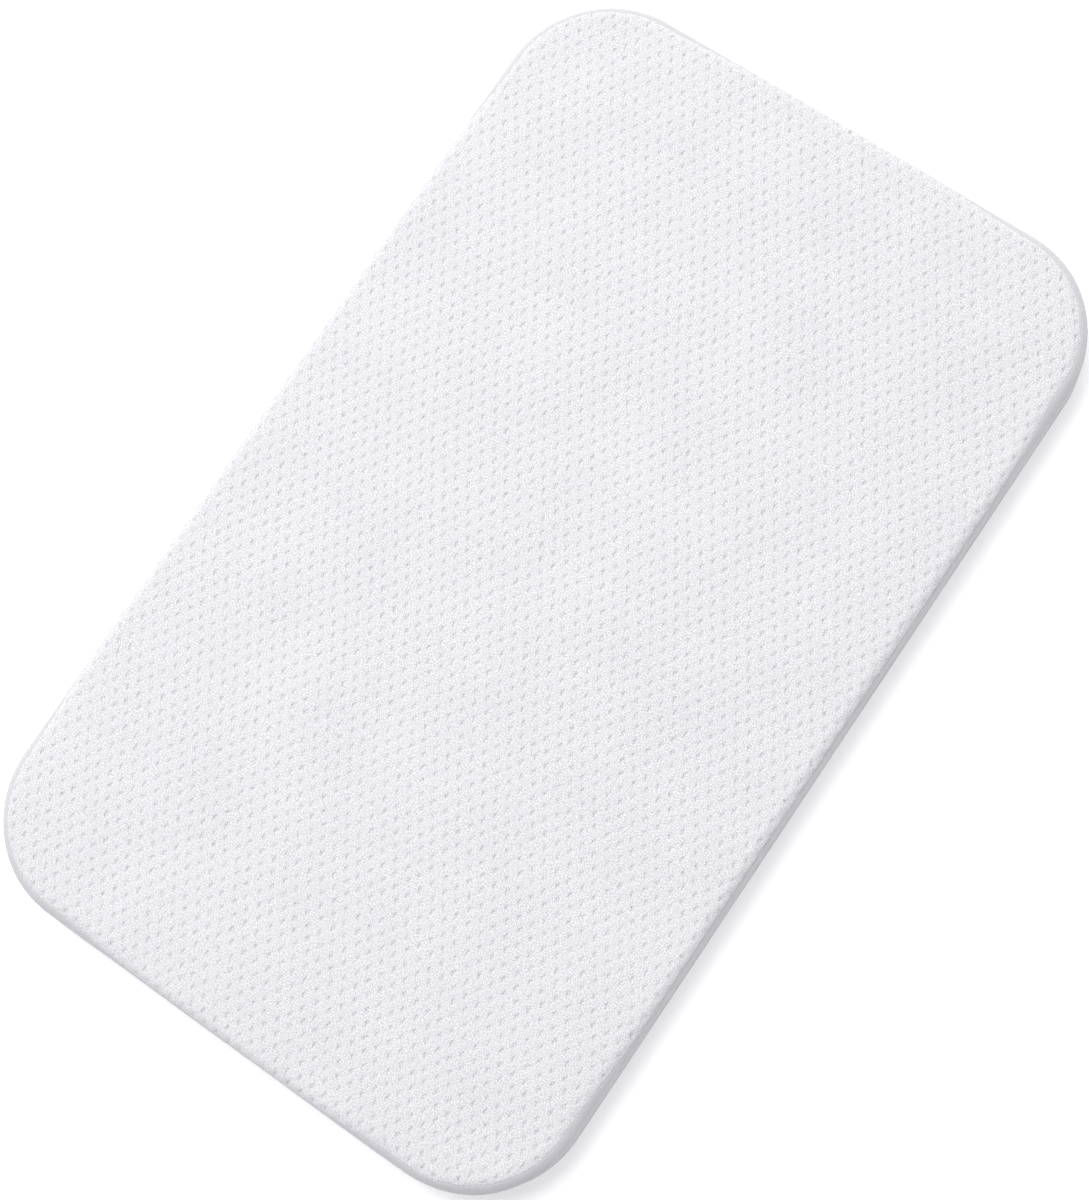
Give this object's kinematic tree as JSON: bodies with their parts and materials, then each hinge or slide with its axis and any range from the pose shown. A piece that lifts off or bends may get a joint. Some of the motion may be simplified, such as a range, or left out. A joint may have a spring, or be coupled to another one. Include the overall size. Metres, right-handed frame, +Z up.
{
  "type": "memory foam mattress",
  "caption": "Small rectangular foam mattress with round corners, in a removable zipped cover with a dimpled knit top and a plain border.",
  "frame": {"origin": "centre of the flat face that the mattress lies on", "axes": "+X along the length, +Y towards the long side with the zip, +Z up through the thickness"},
  "size_m": [0.8382, 0.5129, 0.0508],
  "materials": {
    "memory_foam": "open-cell slow foam, cut faces",
    "support_foam": "open-cell foam, cut faces",
    "liner_fabric": "thin stretch jersey, matt",
    "top_fabric": "soft bubble knit with a field of small dimples, matt",
    "side_fabric": "smooth fine knit, matt",
    "bottom_fabric": "flat plain knit, matt",
    "zip_tape": "woven twill tape",
    "zip_coil": "nylon monofilament, satin",
    "slider_metal": "white enamelled zinc casting",
    "label_fabric": "satin ribbon, blank"
  },
  "bodies": {
    "mattress": {"support_foam": "support_foam", "memory_foam": "memory_foam", "liner_upper": "liner_fabric", "liner_lower": "liner_fabric", "top_panel": "top_fabric", "border_strip": "side_fabric", "zip_strip_upper": "side_fabric", "zip_strip_lower": "side_fabric", "bottom_panel": "bottom_fabric", "zip_tape_upper": "zip_tape", "zip_tape_lower": "zip_tape", "zip_coil_upper": "zip_coil", "zip_coil_lower": "zip_coil", "zip_end_tab_closed": "side_fabric", "zip_end_tab_open": "side_fabric", "care_label": "label_fabric"},
    "slider": {"zip_slider": "slider_metal"},
    "pull": {"pull_tab": "slider_metal"}
  },
  "joints": [
    {"name": "slider_travel", "type": "slide", "parent": "mattress", "child": "slider", "axis": [1, 0, 0], "range_m": [0, 0.536]},
    {"name": "pull_flip", "type": "hinge", "parent": "slider", "child": "pull", "pos_m": [-0.268, 0.25695, 0.023], "axis": [0, 0, 1], "range_deg": [0, 180]}
  ]
}
